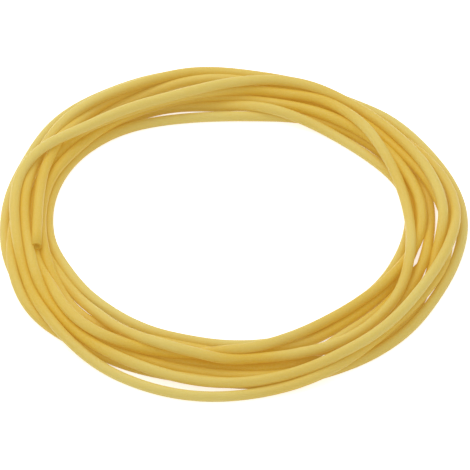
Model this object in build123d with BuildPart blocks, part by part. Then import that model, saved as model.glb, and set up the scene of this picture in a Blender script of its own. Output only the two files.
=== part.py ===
from build123d import *
import math
import os

os.makedirs("parts", exist_ok=True)

# Sizes in millimetres. Z = 0 is the surface that the coil lies on, and the origin is the middle of
# the coil there. The tube's free end lies on the left side of the coil, at -X, and points along -Y.

# The tubing: a soft wall round an open bore.
TUBE_OD = 8.0
WALL = 1.5
BORE_DIAMETER = TUBE_OD - 2 * WALL

# A turn that lies in the groove between two turns below it stands this share of a diameter higher.
NESTING = math.sqrt(3) / 2
LAYER_RISE = NESTING * TUBE_OD

# The coil is wound by hand, so it is neither round nor even. Each layer's outer and inner edge is
# given by how far it lies outside the coil's middle radius, every 45 degrees from +X.
COIL_RADIUS = 160.0
BOTTOM_OUTER = [21, 24, 18, 27, 21, 17, 22, 9]
BOTTOM_INNER = [-25, -20, -17, -5, -19, -39, -46, -49]
MIDDLE_OUTER = [18, 21, 20, 30, 20, 14, 15, 11]
MIDDLE_INNER = [-22, -18, -21, -9, -15, -31, -40, -42]
TOP_OUTER = [14, 16, 22, 26, 18, 11, 5, 7]
TOP_INNER = [-14, -8, 0, 4, 3, -8, -22, -24]

# The round side of a layer's outermost turn: its upper half is true, its lower half a bevel that
# touches the same circle.
LAND = 0.05
EDGE_RADIUS = TUBE_OD / 2 - LAND
EDGE_BEVEL = (2 - math.sqrt(2)) * EDGE_RADIUS

# The free end runs on the middle layer, from where it leaves the top layer to its mouth. Each point
# is its distance inside the coil's middle radius on the left, and its Y.
FREE_END = [(20.0, 93.8), (11.5, 66.8), (8.6, 38.8), (8.0, 8.8), (8.0, -22.7)]
SIDE_CLEARANCE = 0.5
# Open room in front of the mouth, for the hand and the fitting that is pushed into it. Past it a
# channel as wide as the tube's own goes on straight out of the coil, so a long stem can come in too.
FITTING_ROOM = 40.0

# Each bend takes this share of its shorter run on both sides, so a little of each run is straight.
BEND_SHARE = 0.45


def bend_radius(before, corner, after):
    """The radius of the bend at a corner, as large as the runs on its two sides allow."""
    run_in, run_out = corner - before, after - corner
    half_turn = math.radians(run_in.get_angle(run_out)) / 2
    return BEND_SHARE * min(run_in.length, run_out.length) / math.tan(half_turn)


def edge_corners(offsets):
    """Corners of the polygon whose sides lie at these distances outside the coil's middle radius."""
    step = 2 * math.pi / len(offsets)
    corners = []
    for side, offset in enumerate(offsets):
        out = COIL_RADIUS + offset
        next_out = COIL_RADIUS + offsets[(side + 1) % len(offsets)]
        along = (next_out - out * math.cos(step)) / math.sin(step)
        corners.append(Vector(out, along).rotate(Axis.Z, math.degrees(side * step)))
    return corners


def layer_edge(offsets):
    """The closed line round one edge of a layer: straight runs joined by tangent arcs."""
    corners = edge_corners(offsets)
    sides = zip(corners[-1:] + corners[:-1], corners, corners[1:] + corners[:1])
    FilletPolyline(*corners, radius=[bend_radius(*three) for three in sides], close=True)


def coil_layer(level, outer, inner):
    """One layer of turns that lie side by side, with a round outer and inner side."""
    with BuildPart() as layer:
        with BuildSketch(Plane.XY.offset(level * LAYER_RISE)):
            with BuildLine():
                layer_edge(outer)
            make_face()
            with BuildLine():
                layer_edge(inner)
            make_face(mode=Mode.SUBTRACT)
        extrude(amount=TUBE_OD)
        underside, top = layer.faces().filter_by(Axis.Z).sort_by(Axis.Z)
        chamfer(underside.edges(), length=EDGE_BEVEL)
        fillet(top.edges(), radius=EDGE_RADIUS)
    return layer.part


# The free end's middle line, level, one tube radius above the middle layer's flat top.
middle_top = LAYER_RISE + TUBE_OD
end_points = [Vector(inside - COIL_RADIUS, y, middle_top + TUBE_OD / 2) for inside, y in FREE_END]
end_radii = [bend_radius(*three) for three in zip(end_points, end_points[1:], end_points[2:])]
print("bend radii of the free end, mm:", [round(radius) for radius in end_radii])

with BuildLine() as end_line:
    FilletPolyline(*end_points, radius=end_radii)
start_plane = Plane(end_line.line @ 0, z_dir=end_line.line % 0)

# The room that the top layer leaves for the free end and its fitting: a plan outline that follows
# the outer side of the tube, is open towards the middle of the coil, and narrows to the channel.
half_channel = TUBE_OD / 2 + SIDE_CLEARANCE
start, mouth = end_points[0], end_points[-1]
across = (end_points[1] - start).normalized().cross(Vector(0, 0, 1))
if across.X > 0:
    across = -across
room_end = mouth - Vector(0, FITTING_ROOM)
way_out = mouth - Vector(0, COIL_RADIUS)
outer_side = [start + across * half_channel]
outer_side += [point - Vector(half_channel, 0) for point in end_points[1:] + [way_out]]
inner_side = [way_out + Vector(half_channel, 0), room_end + Vector(half_channel, 0)]
inner_side += [room_end + Vector(COIL_RADIUS / 2, 0), start - across * COIL_RADIUS / 2]

bottom_layer = coil_layer(0, BOTTOM_OUTER, BOTTOM_INNER)
middle_layer = coil_layer(1, MIDDLE_OUTER, MIDDLE_INNER)
whole_top_layer = coil_layer(2, TOP_OUTER, TOP_INNER)

with BuildPart() as top_layer:
    add(whole_top_layer)
    with BuildSketch(Plane.XY.offset(middle_top)):
        with BuildLine():
            Polyline(*[(point.X, point.Y) for point in outer_side + inner_side], close=True)
        make_face()
    extrude(amount=TUBE_OD, mode=Mode.SUBTRACT)

# The coil: three layers of turns, nested on each other, as one closed body of the coil's outer form.
with BuildPart() as coil:
    add(bottom_layer)
    add(middle_layer)
    add(top_layer.part)
coil.part.label = "coil"
export_step(coil.part, "parts/coil.step")

# The free end: the tube itself, hollow, cut off square at its mouth.
with BuildPart() as free_end:
    with BuildSketch(start_plane):
        Circle(TUBE_OD / 2)
        Circle(BORE_DIAMETER / 2, mode=Mode.SUBTRACT)
    sweep(path=end_line.wires()[0])
free_end.part.label = "free_end"
export_step(free_end.part, "parts/free_end.step")

section = math.pi * (TUBE_OD**2 - BORE_DIAMETER**2) / 4
end_length = end_line.wires()[0].length
print("free end: length", round(end_length, 2), "mm, straight at its mouth", end_line.edges()[-1].length)
print("volume", round(free_end.part.volume, 1), "against section times length", round(section * end_length, 1))
print("coil: volume", round(coil.part.volume), coil.part.bounding_box(), coil.part.is_valid)
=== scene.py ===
import math

import bmesh
import bpy
import numpy as np
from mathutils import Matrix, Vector
from mathutils.kdtree import KDTree


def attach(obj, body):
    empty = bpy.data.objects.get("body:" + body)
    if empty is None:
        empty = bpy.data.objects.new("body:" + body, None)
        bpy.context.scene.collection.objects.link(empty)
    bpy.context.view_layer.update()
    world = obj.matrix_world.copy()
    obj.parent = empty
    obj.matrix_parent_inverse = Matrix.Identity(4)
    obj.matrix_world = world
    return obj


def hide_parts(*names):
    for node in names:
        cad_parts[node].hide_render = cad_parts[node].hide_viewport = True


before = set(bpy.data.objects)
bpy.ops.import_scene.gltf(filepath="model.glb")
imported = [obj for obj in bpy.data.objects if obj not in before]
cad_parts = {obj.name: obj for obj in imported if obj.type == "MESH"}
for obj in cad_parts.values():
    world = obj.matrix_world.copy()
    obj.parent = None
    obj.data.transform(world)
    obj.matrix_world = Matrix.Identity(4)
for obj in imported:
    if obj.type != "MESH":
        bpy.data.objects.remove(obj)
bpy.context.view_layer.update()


# The camera stands well back with a long lens, straight in front of the coil and 42.5 degrees
# above the table that it lies on.
PHOTO_SIZE = 470
PHOTO_SCALE = 0.000773
CAMERA_DISTANCE = 3.9
CAMERA_ELEVATION = math.radians(42.5)
AIM_POINT = Vector((0.0002, 0.0105, 0))

camera_data = bpy.data.cameras.new("camera")
camera_data.lens = camera_data.sensor_width * CAMERA_DISTANCE / (PHOTO_SIZE * PHOTO_SCALE)
camera_data.clip_end = 3 * CAMERA_DISTANCE
camera = bpy.data.objects.new("camera", camera_data)
away = Vector((0, -math.cos(CAMERA_ELEVATION), math.sin(CAMERA_ELEVATION)))
camera.location = AIM_POINT + CAMERA_DISTANCE * away
camera.rotation_euler = away.to_track_quat("Z", "Y").to_euler()
bpy.context.scene.collection.objects.link(camera)
bpy.context.scene.camera = camera


# The tubing: one 10 m length of hollow natural latex, drawn through a die, cut square at both ends
# and wound by hand into ten loose turns. One end lies on top at the left, the other is buried.
TUBE_DIAMETER = 0.008
TUBE_WALL = 0.0015
TUBE_RADIUS = TUBE_DIAMETER / 2
LAYER_RISE = TUBE_DIAMETER * math.sqrt(3) / 2

# Each turn as the photograph shows it: the angle round the coil, anticlockwise from its right side,
# the radius there in pixels on the tilted round of the coil, and the layer, from 0 on the table.
ROUND_CENTRE = (235, 233)
TURNS = [
    [(160, 221, 0), (172, 220.5, 0.5), (182, 222.4, 1), (192, 227.2, 1), (202, 231.6, 1),
     (212, 232.8, 1), (222, 229.6, 1), (232, 225, 1), (242, 224, 1), (252, 221, 0.3),
     (265, 220, 0), (277, 221.5, 0), (292, 226.2, 0.6), (307, 226.6, 0.6), (322, 222.8, 0.6),
     (337, 221.3, 0.6), (352, 224.8, 0.6)],
    [(2, 228.6, 0.3), (12, 229.4, 0.2), (22, 227, 0), (32, 225, 0), (42, 225, 0), (52, 225.7, 0),
     (62, 224, 0), (72, 225, 0), (77, 227, 0), (82, 229.5, 0), (87, 233, 0.1), (92, 236.5, 0.2),
     (97, 240, 0.4), (104, 242, 0.7), (117, 240.8, 1), (127, 240.4, 1), (132, 239.5, 1),
     (137, 236.7, 1), (142, 232.8, 1), (147, 228.8, 1), (152, 226, 1), (162, 220.4, 1.5),
     (167, 215.8, 2), (172, 212.4, 2), (182, 207.6, 2), (192, 205.8, 2), (202, 208.4, 2),
     (212, 212, 2), (222, 216.2, 2), (232, 217, 2), (242, 217, 1.6), (252, 219.8, 1.3),
     (262, 221.6, 1.2), (272, 221.5, 1.3), (282, 216.5, 1.7), (292, 211.5, 2), (302, 207.5, 2),
     (312, 204.4, 2), (322, 202.8, 2), (332, 202.4, 2), (342, 204.8, 2.2), (352, 211.6, 2.4)],
    [(2, 218.6, 2.3), (7, 222.5, 2.3), (12, 224.7, 2), (17, 225, 2), (27, 222, 1.8),
     (37, 217.8, 1.4), (47, 213.9, 1.3), (57, 208.7, 1), (67, 211, 0.3), (77, 216, 0),
     (87, 221, 0), (97, 226, 0), (107, 234, 0), (114, 240, 0), (122, 242, 0), (132, 244.1, 0),
     (137, 243.3, 0), (142, 240.6, 0), (147, 236.8, 0), (152, 233, 0), (162, 231.5, 0),
     (172, 230.4, 0), (182, 229.4, 0), (192, 229.8, 0), (205, 227, 0), (215, 225, 0),
     (225, 218, 0), (235, 210, 0), (245, 202, 0.5), (252, 198, 0.9), (257, 195, 1),
     (267, 197.2, 1), (277, 202.4, 0.6), (287, 206, 0.3), (293, 200, 0), (300, 188.5, 0),
     (307, 185.5, 0), (317, 184.5, 0), (328, 186, 0), (336, 185.5, 0), (342, 187, 0),
     (347, 193, 0), (353, 205, 0), (357, 213.5, 0)],
    [(2, 219, 0), (12, 222, 0), (22, 222, 0), (32, 219, 0), (42, 214, 0), (52, 213, 0),
     (60, 216, 0.2), (67, 221, 0.5), (77, 226, 0.8), (85, 229, 1), (92, 230.4, 1.6),
     (97, 231.6, 1.6), (102, 232.4, 1.6), (107, 229.2, 1.6), (112, 227, 1.3), (117, 223.7, 1),
     (122, 220, 1), (130, 219, 0.7), (137, 220, 0.4), (152, 226, 0), (167, 222, 0), (182, 217, 0),
     (197, 217, 0), (212, 217, 0), (220, 212, 0.3), (228, 204, 0.8), (236, 196, 1),
     (245, 191, 0.8), (254, 189, 0.6), (262, 187.6, 0.5), (267, 183.2, 0.5), (272, 179.6, 0.5),
     (277, 177.5, 0.6), (292, 177, 0.8), (302, 174.6, 1), (312, 171.3, 1), (322, 171.4, 0.8),
     (332, 174.2, 0.6), (337, 176, 0.5), (347, 177, 0.3), (357, 178.5, 0)],
    [(2, 184, 0), (12, 189, 0), (27, 190, 0), (42, 187, 0.2), (52, 187.5, 0.2), (62, 186, 0.1),
     (67, 183, 0), (72, 179.4, 0.3), (82, 174.4, 0.3), (92, 172.4, 0.3), (102, 174.8, 0.3),
     (112, 179.6, 0.5), (122, 187.2, 0.5), (132, 192.4, 0.5), (142, 194.9, 0.5),
     (152, 194.6, 0.5), (162, 191.8, 0.5), (172, 188.2, 0.5), (182, 185.6, 0.5),
     (192, 180.8, 0.5), (202, 176, 0.3), (212, 172.3, 0.3), (222, 169.6, 0.3), (242, 167.3, 0.3),
     (257, 165.8, 0), (267, 165.8, 0), (277, 166.8, 0), (292, 168, 0), (307, 168.5, 0),
     (322, 169.5, 0), (337, 172, 0), (352, 175, 0)],
    [(4, 175.5, 0), (14, 177.5, 0), (27, 180, 0.2), (32, 177, 0.2), (42, 174.2, 0.3),
     (52, 174.2, 0.7), (57, 176, 1), (62, 178, 1), (67, 181.5, 1), (72, 183.5, 1), (82, 187.2, 1),
     (92, 190, 1), (102, 192.8, 1), (107, 195.6, 1), (112, 197.2, 1), (120, 198, 1),
     (137, 198.5, 0.5), (152, 197.5, 0.3), (167, 194.5, 0), (182, 190, 0), (197, 186, 0.3),
     (212, 183, 1), (227, 183, 1), (237, 181.6, 1), (247, 179.8, 1), (257, 179.2, 1),
     (267, 182, 1.2), (277, 185.3, 1.5), (287, 188, 1.7), (297, 191, 2), (307, 192.2, 2),
     (317, 191, 2), (327, 187.8, 2), (337, 183.6, 2), (347, 178.4, 2), (357, 175.8, 2)],
    [(4, 175.4, 2), (17, 177.2, 2), (22, 179.5, 2), (27, 182, 2), (32, 186, 2), (37, 190, 2.2),
     (42, 194.8, 2.2), (47, 200.8, 2.2), (52, 205.6, 2), (57, 209.8, 2), (62, 214, 2),
     (67, 216.4, 2), (72, 217.2, 2), (77, 216.4, 2), (82, 214.8, 2), (87, 213.2, 1.8),
     (92, 211, 1.5), (107, 209, 1.5), (117, 209, 1.5), (127, 210.5, 1.5), (137, 213, 1.5),
     (142, 213.8, 1.5), (147, 213.2, 1.5), (152, 212, 1.3), (157, 210, 1.1), (167, 206.5, 1),
     (177, 203, 1), (187, 201, 1), (192, 202, 1), (207, 202, 1.5), (217, 202.4, 1.8),
     (222, 202.6, 2), (227, 201.5, 2), (237, 196, 2), (247, 189.5, 2), (252, 186.6, 2),
     (257, 183.4, 2.2), (262, 180.6, 2.2), (267, 177.6, 2), (272, 174.2, 1.7), (277, 170.9, 1.5),
     (287, 163.8, 1.2), (297, 160, 1), (307, 158.2, 1), (317, 159.3, 1), (327, 163, 1),
     (337, 168.4, 1), (347, 175.6, 1), (352, 179.5, 1), (357, 183.5, 1)],
    [(2, 187, 1), (12, 190.6, 1), (22, 193, 1), (32, 193.8, 1), (42, 195, 1), (52, 197, 1),
     (67, 196.6, 1), (82, 197.2, 1), (92, 198.6, 1), (102, 202.6, 1), (112, 204.4, 1),
     (127, 204.6, 1), (137, 203.2, 1), (152, 202, 1), (162, 200, 1), (172, 196, 1),
     (182, 193.8, 1), (192, 194, 1), (202, 194.6, 1), (212, 196.4, 1), (222, 196, 0.2),
     (232, 195, 0), (242, 195, 0), (252, 194, 0), (262, 193, 0), (272, 191, 0), (282, 191, 0),
     (290, 194, 0.2), (297, 197.5, 0.5), (307, 198, 0.5), (317, 198, 0.7), (327, 195, 0.7),
     (337, 193.3, 0.7), (352, 193.6, 0.7)],
    [(2, 194.8, 0.7), (12, 198.4, 0.7), (22, 202.4, 0.7), (32, 203.6, 0.7), (42, 204, 0.7),
     (57, 202, 0), (67, 201, 0), (77, 200, 0), (92, 200, 0), (107, 205, 0), (122, 209, 0),
     (137, 213, 0), (152, 215, 0), (167, 211, 0), (182, 206, 0), (197, 205, 0), (212, 205, 0),
     (222, 206, 0.5), (230, 207, 0.8), (237, 207, 0.8), (247, 207, 0.8), (257, 208.5, 0.7),
     (262, 209.5, 0.6), (272, 213, 0.5), (287, 213.5, 0.6), (302, 214.5, 0.3), (317, 216, 0),
     (332, 212, 0), (342, 204.5, 0), (350, 203, 0.3), (357, 206, 0.8)],
    [(2, 209, 1), (7, 211, 1), (12, 212.4, 1.3), (22, 213.6, 1.7), (37, 216, 2.2),
     (47, 218.3, 2.2), (57, 221.8, 2), (62, 225, 2), (67, 229, 2), (72, 230.8, 2), (77, 231.6, 2),
     (82, 230.4, 2.2), (87, 226, 2.3), (92, 222, 2.3), (97, 217.6, 2.3), (102, 214.4, 2.2),
     (107, 212.6, 2), (112, 212, 2), (122, 213.8, 2), (132, 216, 2), (137, 218.8, 2),
     (142, 223.6, 2.2), (147, 229.2, 2.2), (152, 231.2, 2), (157, 231.6, 2), (162, 229, 2),
     (172, 222.3, 2), (182, 218, 2), (192, 217.2, 2), (202, 220.2, 2), (212, 223.2, 2),
     (222, 228.4, 2), (232, 235.9, 1.2), (237, 239.3, 0.8), (242, 241.8, 0.5), (252, 244.8, 0.3),
     (257, 245, 0.3), (262, 244.6, 0.3), (267, 243, 0.5), (272, 239.9, 0.8), (282, 232.7, 1.2),
     (292, 225.8, 1.5), (297, 222.3, 1.6), (302, 217, 1.7), (307, 213.2, 1.7), (317, 208.4, 1.5),
     (327, 207.5, 1.4), (342, 210, 1.2), (352, 213, 1)],
    [(2, 210, 0.5), (12, 211, 0), (22, 211, 0.2), (32, 208, 0.8), (42, 206, 1), (52, 206, 1),
     (62, 207, 0.5), (72, 208, 0), (82, 210, 0), (92, 211, 0), (102, 217, 0), (107, 224, 0),
     (112, 231, 0.3), (117, 233, 0.5), (122, 232.4, 0.8), (127, 230, 0.8), (132, 227.8, 0.9),
     (137, 226.6, 1), (142, 225.4, 1), (147, 223.6, 1), (152, 220.8, 1.4), (157, 214, 2),
     (162, 208.4, 2), (167, 203.5, 2), (172, 200.5, 2), (177, 198.5, 2), (182, 197.5, 2),
     (187, 196.8, 2)],
]
# The stretches that the turns above them hide, each as a turn and its first and last angle.
HIDDEN = [(0, 160, 180), (0, 254, 290), (2, 60, 120), (2, 194, 255), (2, 289, 297), (2, 346, 360),
          (3, 0, 90), (3, 124, 260), (3, 339, 360), (4, 0, 40), (4, 279, 360), (5, 0, 25),
          (5, 122, 210), (6, 159, 185), (7, 214, 295), (8, 44, 235), (8, 274, 298), (8, 352, 360),
          (9, 343, 360), (10, 0, 110)]

# The free end's last stretch, from where it leaves the turns to its mouth.
FREE_END = [(-0.1400, 0.0938), (-0.1485, 0.0668), (-0.1514, 0.0388), (-0.1520, 0.0088),
            (-0.1520, -0.0227)]
FREE_END_HEIGHT = 0.018928


def lifted(angle, radius, height):
    """The place at this height that the photograph shows at this angle and radius of the round."""
    across = (ROUND_CENTRE[0] - PHOTO_SIZE / 2 + radius * np.cos(angle)) * PHOTO_SCALE
    up = radius * np.sin(angle) * math.sin(CAMERA_ELEVATION)
    up = (PHOTO_SIZE / 2 - ROUND_CENTRE[1] + up) * PHOTO_SCALE
    eye = np.array(camera.location)
    shown = np.array([AIM_POINT.x + across, AIM_POINT.y + up * math.sin(CAMERA_ELEVATION),
                      up * math.cos(CAMERA_ELEVATION)])
    reach = (height - eye[2]) / (shown[2] - eye[2])
    return eye[0] + (shown[0] - eye[0]) * reach, eye[1] + (shown[1] - eye[1]) * reach


# The turns are laid at 96 stations round the coil. Each station holds every turn's radius and
# height, and the two radii between which its seen radius moves as its height changes.
STATIONS = 96
ROUTE_END = 188.5
LOW, HIGH = TUBE_RADIUS, TUBE_RADIUS + 2 * LAYER_RISE
seen = [(turn, *station) for turn, stations in enumerate(TURNS) for station in stations]
way = np.array([turn * 360 + angle for turn, angle, radius, layer in seen])
seen_radius = np.array([radius for turn, angle, radius, layer in seen])
seen_layer = np.array([layer for turn, angle, radius, layer in seen])

last_turn = len(TURNS) - 1
first_station = math.ceil(TURNS[0][0][0] * STATIONS / 360)
last_station = last_turn * STATIONS + int(ROUTE_END * STATIONS / 360)
station_numbers = np.arange(first_station, last_station + 1)
station_way = station_numbers * 360 / STATIONS


def radius_at(height):
    """The real radius at each station, for a tube that lies at this height where it is seen."""
    angle = np.radians(way)
    x, y = lifted(angle, seen_radius, height)
    turned = np.unwrap(np.arctan2(y, x))
    turned += 2 * math.pi * round((angle[0] - turned[0]) / (2 * math.pi))
    return np.interp(np.radians(station_way), turned, np.hypot(x, y))


radius_low, radius_high = radius_at(LOW), radius_at(HIGH)
height = TUBE_RADIUS + LAYER_RISE * np.interp(station_way, way, seen_layer)
FOLLOW_SEEN, FOLLOW_HIDDEN = 0.03, 0.001
follow = np.full(len(station_way), FOLLOW_SEEN)
for turn, start, end in HIDDEN:
    hidden = (station_way > turn * 360 + start) & (station_way < turn * 360 + end)
    follow[hidden] = FOLLOW_HIDDEN
end_x, end_y = zip(*FREE_END)
end_way = np.degrees(np.arctan2(end_y, end_x)) % 360 + last_turn * 360
on_end = station_way >= end_way[0]
end_radius = np.interp(station_way[on_end], end_way, np.hypot(end_x, end_y))
radius_low[on_end] = radius_high[on_end] = end_radius
height[on_end] = FREE_END_HEIGHT

# The tube settles: it sinks, bends evenly, keeps near where it is seen, and the turns push each
# other apart until they lie a diameter apart, on the table or on the turns below.
radius = radius_low + (height - LOW) / (HIGH - LOW) * (radius_high - radius_low)
place = np.stack([radius, height], axis=1)
turn_count = len(TURNS)
NO_STATION = -1
grid = np.full((turn_count, STATIONS), NO_STATION)
grid[station_numbers // STATIONS, station_numbers % STATIONS] = np.arange(len(station_numbers))
pairs = [(grid[a, s], grid[b, s]) for s in range(STATIONS) for a in range(turn_count)
         for b in range(a + 1, turn_count) if NO_STATION not in (grid[a, s], grid[b, s])]
one, other = np.array(pairs).T
SETTLE_STEPS = 3000
SINK = 0.000012
BEND = 0.055
PUSH_REPEATS = 3
PUSH_SHARING = 0.7
NEVER_ZERO = 1e-6
for step in range(SETTLE_STEPS):
    place[:, 1] -= SINK
    wanted = radius_low + (place[:, 1] - LOW) / (HIGH - LOW) * (radius_high - radius_low)
    place[:, 0] += follow * (wanted - place[:, 0])
    curve = place[:-2] - 2 * place[1:-1] + place[2:]
    strain = np.zeros_like(place)
    strain[:-2] += curve
    strain[1:-1] -= 2 * curve
    strain[2:] += curve
    place -= BEND * strain
    for repeat in range(PUSH_REPEATS):
        between = place[other] - place[one]
        distance = np.hypot(between[:, 0], between[:, 1])
        short = np.clip(TUBE_DIAMETER - distance, 0, None)
        push = between * (short / 2 / np.maximum(distance, NEVER_ZERO))[:, None]
        shift = np.zeros_like(place)
        count = np.ones(len(place))
        np.add.at(shift, other, push)
        np.add.at(shift, one, -push)
        touching = (short > 0).astype(float)
        np.add.at(count, other, touching / 2)
        np.add.at(count, one, touching / 2)
        place += shift / np.maximum(count[:, None] * PUSH_SHARING, 1)
        place[:, 1] = np.maximum(place[:, 1], TUBE_RADIUS)

on_route = ~on_end
angle = np.radians(station_way[on_route])
route = np.column_stack([place[on_route, 0] * np.cos(angle), place[on_route, 0] * np.sin(angle),
                         place[on_route, 1]])
end_points = [(x, y, float(np.interp(a, station_way, place[:, 1]))) for (x, y), a
              in zip(FREE_END, end_way)]
route = np.vstack([route, end_points])

# The route is a smooth spline, and the tube's skin follows the points that the spline gives.
SPLINE_STEPS = 3
line_data = bpy.data.curves.new("tube_line", "CURVE")
line_data.dimensions = "3D"
spline = line_data.splines.new("NURBS")
spline.points.add(len(route) - 1)
for point, co in zip(spline.points, route):
    point.co = (*co, 1)
spline.order_u = 3
spline.use_endpoint_u = True
spline.resolution_u = SPLINE_STEPS
line = bpy.data.objects.new("tube_line", line_data)
line_mesh = bpy.data.meshes.new_from_object(line)
path = np.array([vertex.co for vertex in line_mesh.vertices])

# The tube's outside and its bore are two round skins along the route, joined by a flat rim at each
# cut end.
SKIN_STEPS = 8
BORE_STEPS = 3


def add_skin(builder, radius, steps):
    """Adds a round skin of this radius along the route and gives its faces."""
    line_data.bevel_depth = radius
    line_data.bevel_resolution = steps
    before = set(builder.faces)
    skin = bpy.data.meshes.new_from_object(line)
    builder.from_mesh(skin)
    bpy.data.meshes.remove(skin)
    return [face for face in builder.faces if face not in before]


builder = bmesh.new()
add_skin(builder, TUBE_RADIUS, SKIN_STEPS)
bore_faces = add_skin(builder, TUBE_RADIUS - TUBE_WALL, BORE_STEPS)
bmesh.ops.reverse_faces(builder, faces=bore_faces)
for end in (path[0], path[-1]):
    rim = [edge for edge in builder.edges if edge.is_boundary
           and (edge.verts[0].co - Vector(end)).length < TUBE_DIAMETER]
    bmesh.ops.bridge_loops(builder, edges=rim)
bmesh.ops.recalc_face_normals(builder, faces=builder.faces)
for face in builder.faces:
    face.smooth = True
mesh = bpy.data.meshes.new("tubing")
builder.to_mesh(mesh)
builder.free()
tubing = bpy.data.objects.new("tubing", mesh)
bpy.context.scene.collection.objects.link(tubing)

# Where other turns crowd round a spot, the latex is painted a deeper, darker amber and given a
# stronger painted glow.
# This is painted shade between the turns, standing in for the light that reaches a spot through
# other turns. This attribute says how much tubing lies round each corner of the skin, from 0 on a
# turn by itself to 1. It is mostly that of the whole cross-section there, and a little that of the
# corner's own side, which paints shade on the sides that face other turns.
OWN_STRETCH = 14
SECTION_REACH, SECTION_ALONE, SECTION_FULL = 0.018, 2, 11
CORNER_REACH, CORNER_ALONE, CORNER_FULL = 0.0136, 1.5, 12
SECTION_SHARE = 0.65
places = KDTree(len(path))
for number, point in enumerate(path):
    places.insert(point, number)
places.balance()


def crowding(co, own, reach, alone, full):
    """How much of the tube's other turns lies within reach of this place, from 0 to 1."""
    amount = sum(1 - far / reach for _, number, far in places.find_range(co, reach)
                 if abs(number - own) > OWN_STRETCH)
    return min(max((amount - alone) / (full - alone), 0), 1)


own = np.array([places.find(vertex.co)[1] for vertex in mesh.vertices])
section_painted_shade = np.array([crowding(point, number, SECTION_REACH, SECTION_ALONE, SECTION_FULL)
                     for number, point in enumerate(path)])
corner_painted_shade = np.array([crowding(vertex.co, own[vertex.index], CORNER_REACH, CORNER_ALONE, CORNER_FULL)
                    for vertex in mesh.vertices])
# The mask for the painted shade and painted glow between turns, kept on the skin's corners.
painted_shade_glow_mask = mesh.attributes.new("painted_shade_glow_mask", "FLOAT", "POINT")
painted_shade_glow_mask.data.foreach_set("value", SECTION_SHARE * section_painted_shade[own] + (1 - SECTION_SHARE) * corner_painted_shade)

# The attribute skin_place gives each corner's place on the tube itself: how far along it, and
# where across it, so that the die lines and the bloom follow the tube round its turns.
along = np.concatenate([[0], np.cumsum(np.linalg.norm(np.diff(path, axis=0), axis=1))])
heading = np.gradient(path, axis=0)
heading /= np.linalg.norm(heading, axis=1)[:, None]
sideways = np.cross(heading, (0, 0, 1))
sideways /= np.linalg.norm(sideways, axis=1)[:, None]
upwards = np.cross(sideways, heading)
offset = np.array([vertex.co for vertex in mesh.vertices]) - path[own]
skin_place = np.column_stack([along[own] + (offset * heading[own]).sum(axis=1),
                              (offset * sideways[own]).sum(axis=1),
                              (offset * upwards[own]).sum(axis=1)])
place_on_skin = mesh.attributes.new("skin_place", "FLOAT_VECTOR", "POINT")
place_on_skin.data.foreach_set("vector", skin_place.ravel())

# Natural latex: amber, waxy and translucent. Alone it is pale. Between turns it is painted a
# deeper, darker amber, painted shade for the light that has passed through them, and its painted
# glow, an emission, is stronger there.
# It has fine die lines along it and a thin dusty bloom.
PALE_LATEX = (0.63, 0.515, 0.145, 1)
# Painted shade: the darker, deeper amber laid on between turns.
PAINTED_SHADE_LATEX = (0.54, 0.325, 0.005, 1)
# Painted glow: emission colours, alone and between turns, though the latex is no lamp.
PAINTED_GLOW_ALONE = (0.15, 0.10, 0.02, 1)
PAINTED_GLOW_BETWEEN = (0.20, 0.12, 0.012, 1)
BLOOM = (0.80, 0.72, 0.50, 1)
DUST_COVER = 0.08
WALL_CHANGE = 0.1
ROUGHNESS = (0.36, 0.5)
LINE_STRETCH = 0.03
latex = bpy.data.materials.new("natural_latex")
latex.use_nodes = True
nodes, links = latex.node_tree.nodes, latex.node_tree.links
shader = nodes["Principled BSDF"]
shader.inputs["IOR"].default_value = 1.4
shader.inputs["Subsurface Weight"].default_value = 0.4
shader.inputs["Subsurface Radius"].default_value = (1.0, 0.8, 0.5)
shader.inputs["Subsurface Scale"].default_value = 0.0015
# The emission is the painted glow; this strength scales its colours.
shader.inputs["Emission Strength"].default_value = 1.0
shader.inputs["Specular IOR Level"].default_value = 0.25


def noise_on(place, scale, detail):
    """A noise texture at this place, as its output between 0 and 1."""
    noise = nodes.new("ShaderNodeTexNoise")
    noise.inputs["Scale"].default_value = scale
    noise.inputs["Detail"].default_value = detail
    links.new(place, noise.inputs["Vector"])
    return noise.outputs["Fac"]


def spread(value, start, end, low, high):
    """Spreads the range from start to end of a value over the range from low to high."""
    change = nodes.new("ShaderNodeMapRange")
    for name, number in zip(("From Min", "From Max", "To Min", "To Max"), (start, end, low, high)):
        change.inputs[name].default_value = number
    links.new(value, change.inputs["Value"])
    return change.outputs["Result"]


def blend_of(amount, first, second):
    """A blend of two colours, each a plain colour or a node's output."""
    mix = nodes.new("ShaderNodeMix")
    mix.data_type = "RGBA"
    links.new(amount, mix.inputs[0])
    for socket, colour in ((mix.inputs[6], first), (mix.inputs[7], second)):
        if isinstance(colour, tuple):
            socket.default_value = colour
        else:
            links.new(colour, socket)
    return mix.outputs[2]


on_tube = nodes.new("ShaderNodeAttribute")
on_tube.attribute_name = "skin_place"
stretch = nodes.new("ShaderNodeMapping")
stretch.inputs["Scale"].default_value = (LINE_STRETCH, 1, 1)
links.new(on_tube.outputs["Vector"], stretch.inputs["Vector"])
die_lines = noise_on(stretch.outputs["Vector"], 1100, 2)
wall = noise_on(on_tube.outputs["Vector"], 9, 2)
dust = noise_on(on_tube.outputs["Vector"], 700, 3)

# The wall is a little thicker or thinner from place to place, which shifts the depth of amber at
# random. That depth is mostly painted shade and painted glow, deeper where turns crowd together.
crowd = nodes.new("ShaderNodeAttribute")
crowd.attribute_name = "painted_shade_glow_mask"
amount = nodes.new("ShaderNodeMath")
amount.use_clamp = True
links.new(crowd.outputs["Fac"], amount.inputs[0])
links.new(spread(wall, 0.3, 0.7, -WALL_CHANGE, WALL_CHANGE), amount.inputs[1])
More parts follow.
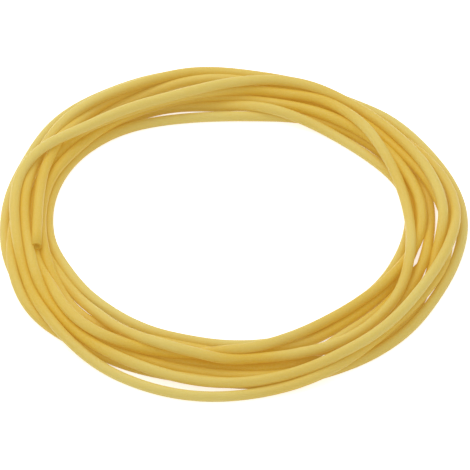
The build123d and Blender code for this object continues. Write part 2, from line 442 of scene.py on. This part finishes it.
# The base colour darkens towards the painted shade between turns, and a little real dust is laid
# over it.
amber = blend_of(amount.outputs[0], PALE_LATEX, PAINTED_SHADE_LATEX)
dust_and_painted_shade = blend_of(spread(dust, 0.4, 0.8, 0, DUST_COVER), amber, BLOOM)
links.new(dust_and_painted_shade, shader.inputs["Base Color"])
# The emission colour is the painted glow, stronger between turns.
links.new(blend_of(amount.outputs[0], PAINTED_GLOW_ALONE, PAINTED_GLOW_BETWEEN), shader.inputs["Emission Color"])
links.new(spread(dust, 0.3, 0.7, *ROUGHNESS), shader.inputs["Roughness"])

fine_lines = nodes.new("ShaderNodeBump")
fine_lines.inputs["Strength"].default_value = 0.25
fine_lines.inputs["Distance"].default_value = 0.00015
links.new(die_lines, fine_lines.inputs["Height"])
links.new(fine_lines.outputs["Normal"], shader.inputs["Normal"])
mesh.materials.append(latex)

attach(tubing, "root")
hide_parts("coil", "free_end")


# The table: a plain white sweep, so wide that its edge is never seen.
TABLE_SIZE = 40
TABLE_GLOW = 0.65


def seeing_rays(nodes, links):
    """Gives 1 for the rays that see what is round the coil: camera, glossy and clear ones."""
    rays = nodes.new("ShaderNodeLightPath")
    seen = rays.outputs["Is Camera Ray"]
    for kind in ("Is Glossy Ray", "Is Transmission Ray"):
        either = nodes.new("ShaderNodeMath")
        either.operation = "MAXIMUM"
        links.new(seen, either.inputs[0])
        links.new(rays.outputs[kind], either.inputs[1])
        seen = either.outputs[0]
    return seen


bpy.ops.mesh.primitive_plane_add(size=TABLE_SIZE)
table = bpy.context.object
table.name = "table"
white = bpy.data.materials.new("white_table")
white.use_nodes = True
nodes, links = white.node_tree.nodes, white.node_tree.links
paint = nodes["Principled BSDF"]
paint.inputs["Base Color"].default_value = (0.9, 0.9, 0.9, 1)
paint.inputs["Roughness"].default_value = 0.9
lit = nodes.new("ShaderNodeAddShader")
glow = nodes.new("ShaderNodeEmission")
clear_rays = seeing_rays(nodes, links)
strength = nodes.new("ShaderNodeMath")
strength.operation = "MULTIPLY"
strength.inputs[1].default_value = TABLE_GLOW
links.new(clear_rays, strength.inputs[0])
links.new(strength.outputs[0], glow.inputs["Strength"])
links.new(paint.outputs[0], lit.inputs[0])
links.new(glow.outputs[0], lit.inputs[1])
links.new(lit.outputs[0], nodes["Material Output"].inputs["Surface"])
table.data.materials.append(white)


# The light: a wide soft lamp over the coil, and an even pale surround.
LAMP_SIZE = 1.6
LAMP_WATTS = 14
LAMP_PLACE = (-0.6, 0.5, 1.8)
world = bpy.data.worlds.new("surround")
world.use_nodes = True
nodes, links = world.node_tree.nodes, world.node_tree.links
surround = nodes["Background"]
surround.inputs["Color"].default_value = (0.9, 0.93, 1, 1)
surround.inputs["Strength"].default_value = 0.75
backdrop = nodes.new("ShaderNodeBackground")
backdrop.inputs["Color"].default_value = (1, 1, 1, 1)
clear_rays = seeing_rays(nodes, links)
either = nodes.new("ShaderNodeMixShader")
links.new(clear_rays, either.inputs[0])
links.new(surround.outputs[0], either.inputs[1])
links.new(backdrop.outputs[0], either.inputs[2])
links.new(either.outputs[0], nodes["World Output"].inputs["Surface"])
bpy.context.scene.world = world
lamp_data = bpy.data.lights.new("top_lamp", "AREA")
lamp_data.size = LAMP_SIZE
lamp_data.energy = LAMP_WATTS
lamp = bpy.data.objects.new("top_lamp", lamp_data)
lamp.location = LAMP_PLACE
lamp.rotation_euler = Vector(LAMP_PLACE).to_track_quat("Z", "Y").to_euler()
bpy.context.scene.collection.objects.link(lamp)

bpy.context.scene.view_settings.view_transform = "Standard"
